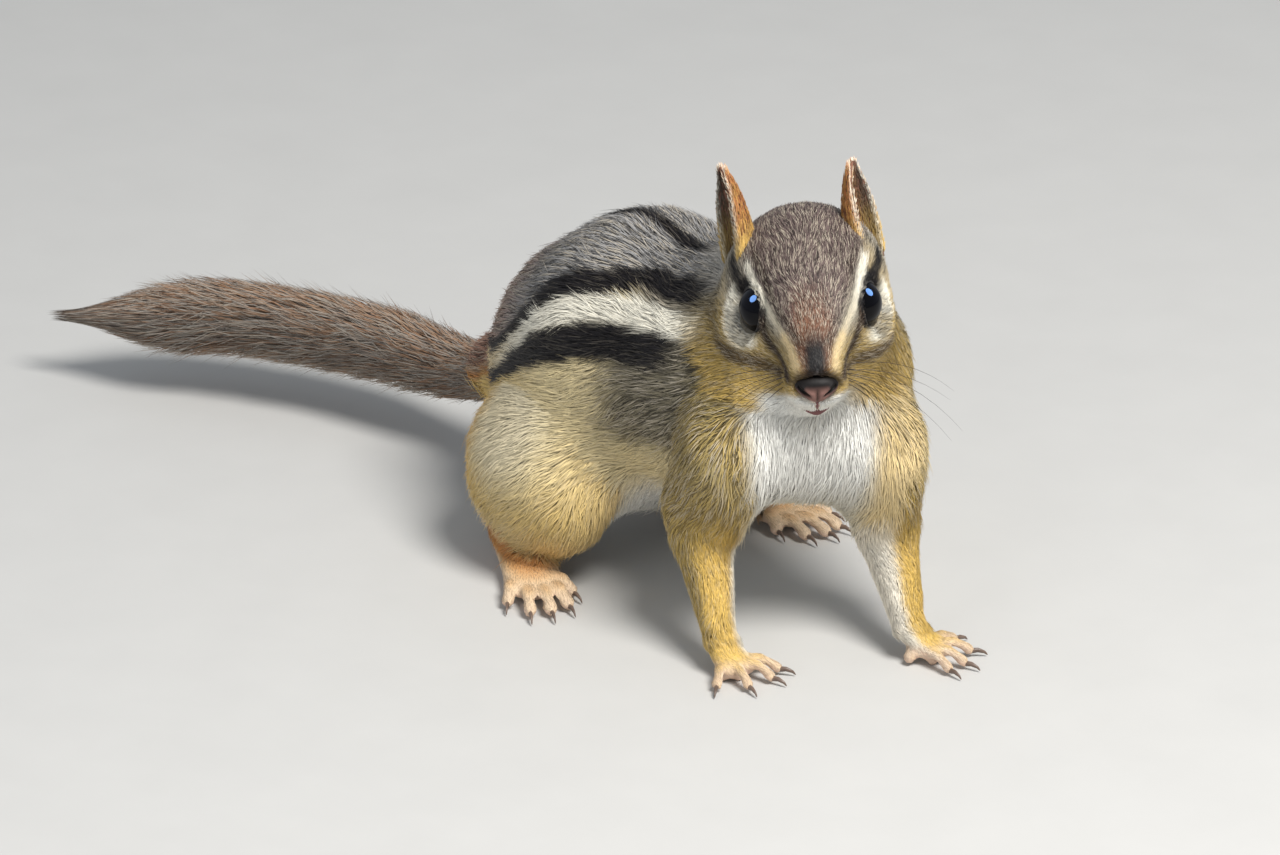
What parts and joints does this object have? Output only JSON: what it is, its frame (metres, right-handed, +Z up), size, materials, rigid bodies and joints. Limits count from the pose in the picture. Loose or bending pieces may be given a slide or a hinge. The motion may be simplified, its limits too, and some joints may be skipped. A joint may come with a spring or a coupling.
{
  "type": "eastern chipmunk model",
  "caption": "Life-size chipmunk standing on four feet, head turned, striped back, bushy tail laid out behind.",
  "frame": {"origin": "on the floor, under the middle of the bounding box", "axes": "+X towards the front of the trunk, +Y to the animal's left, +Z up"},
  "size_m": [0.2086, 0.085, 0.0853],
  "materials": {
    "fur": "short dense striped fur",
    "ear_fur": "thin fine fur over skin",
    "tail_hair": "long bushy hair",
    "bare_skin": "bare skin and claws",
    "eye": "wet dark gloss"
  },
  "bodies": {
    "root": {"torso": "fur", "neck": "fur", "head": "fur", "ear_left": "ear_fur", "ear_right": "ear_fur", "eye_left": "eye", "eye_right": "eye", "upper_arm_left": "fur", "upper_arm_right": "fur", "forearm_left": "fur", "forearm_right": "fur", "fore_paw_left": "bare_skin", "fore_paw_right": "bare_skin", "thigh_left": "fur", "thigh_right": "fur", "shank_left": "fur", "shank_right": "fur", "hind_foot_left": "bare_skin", "hind_foot_right": "bare_skin", "tail": "tail_hair"}
  },
  "joints": []
}
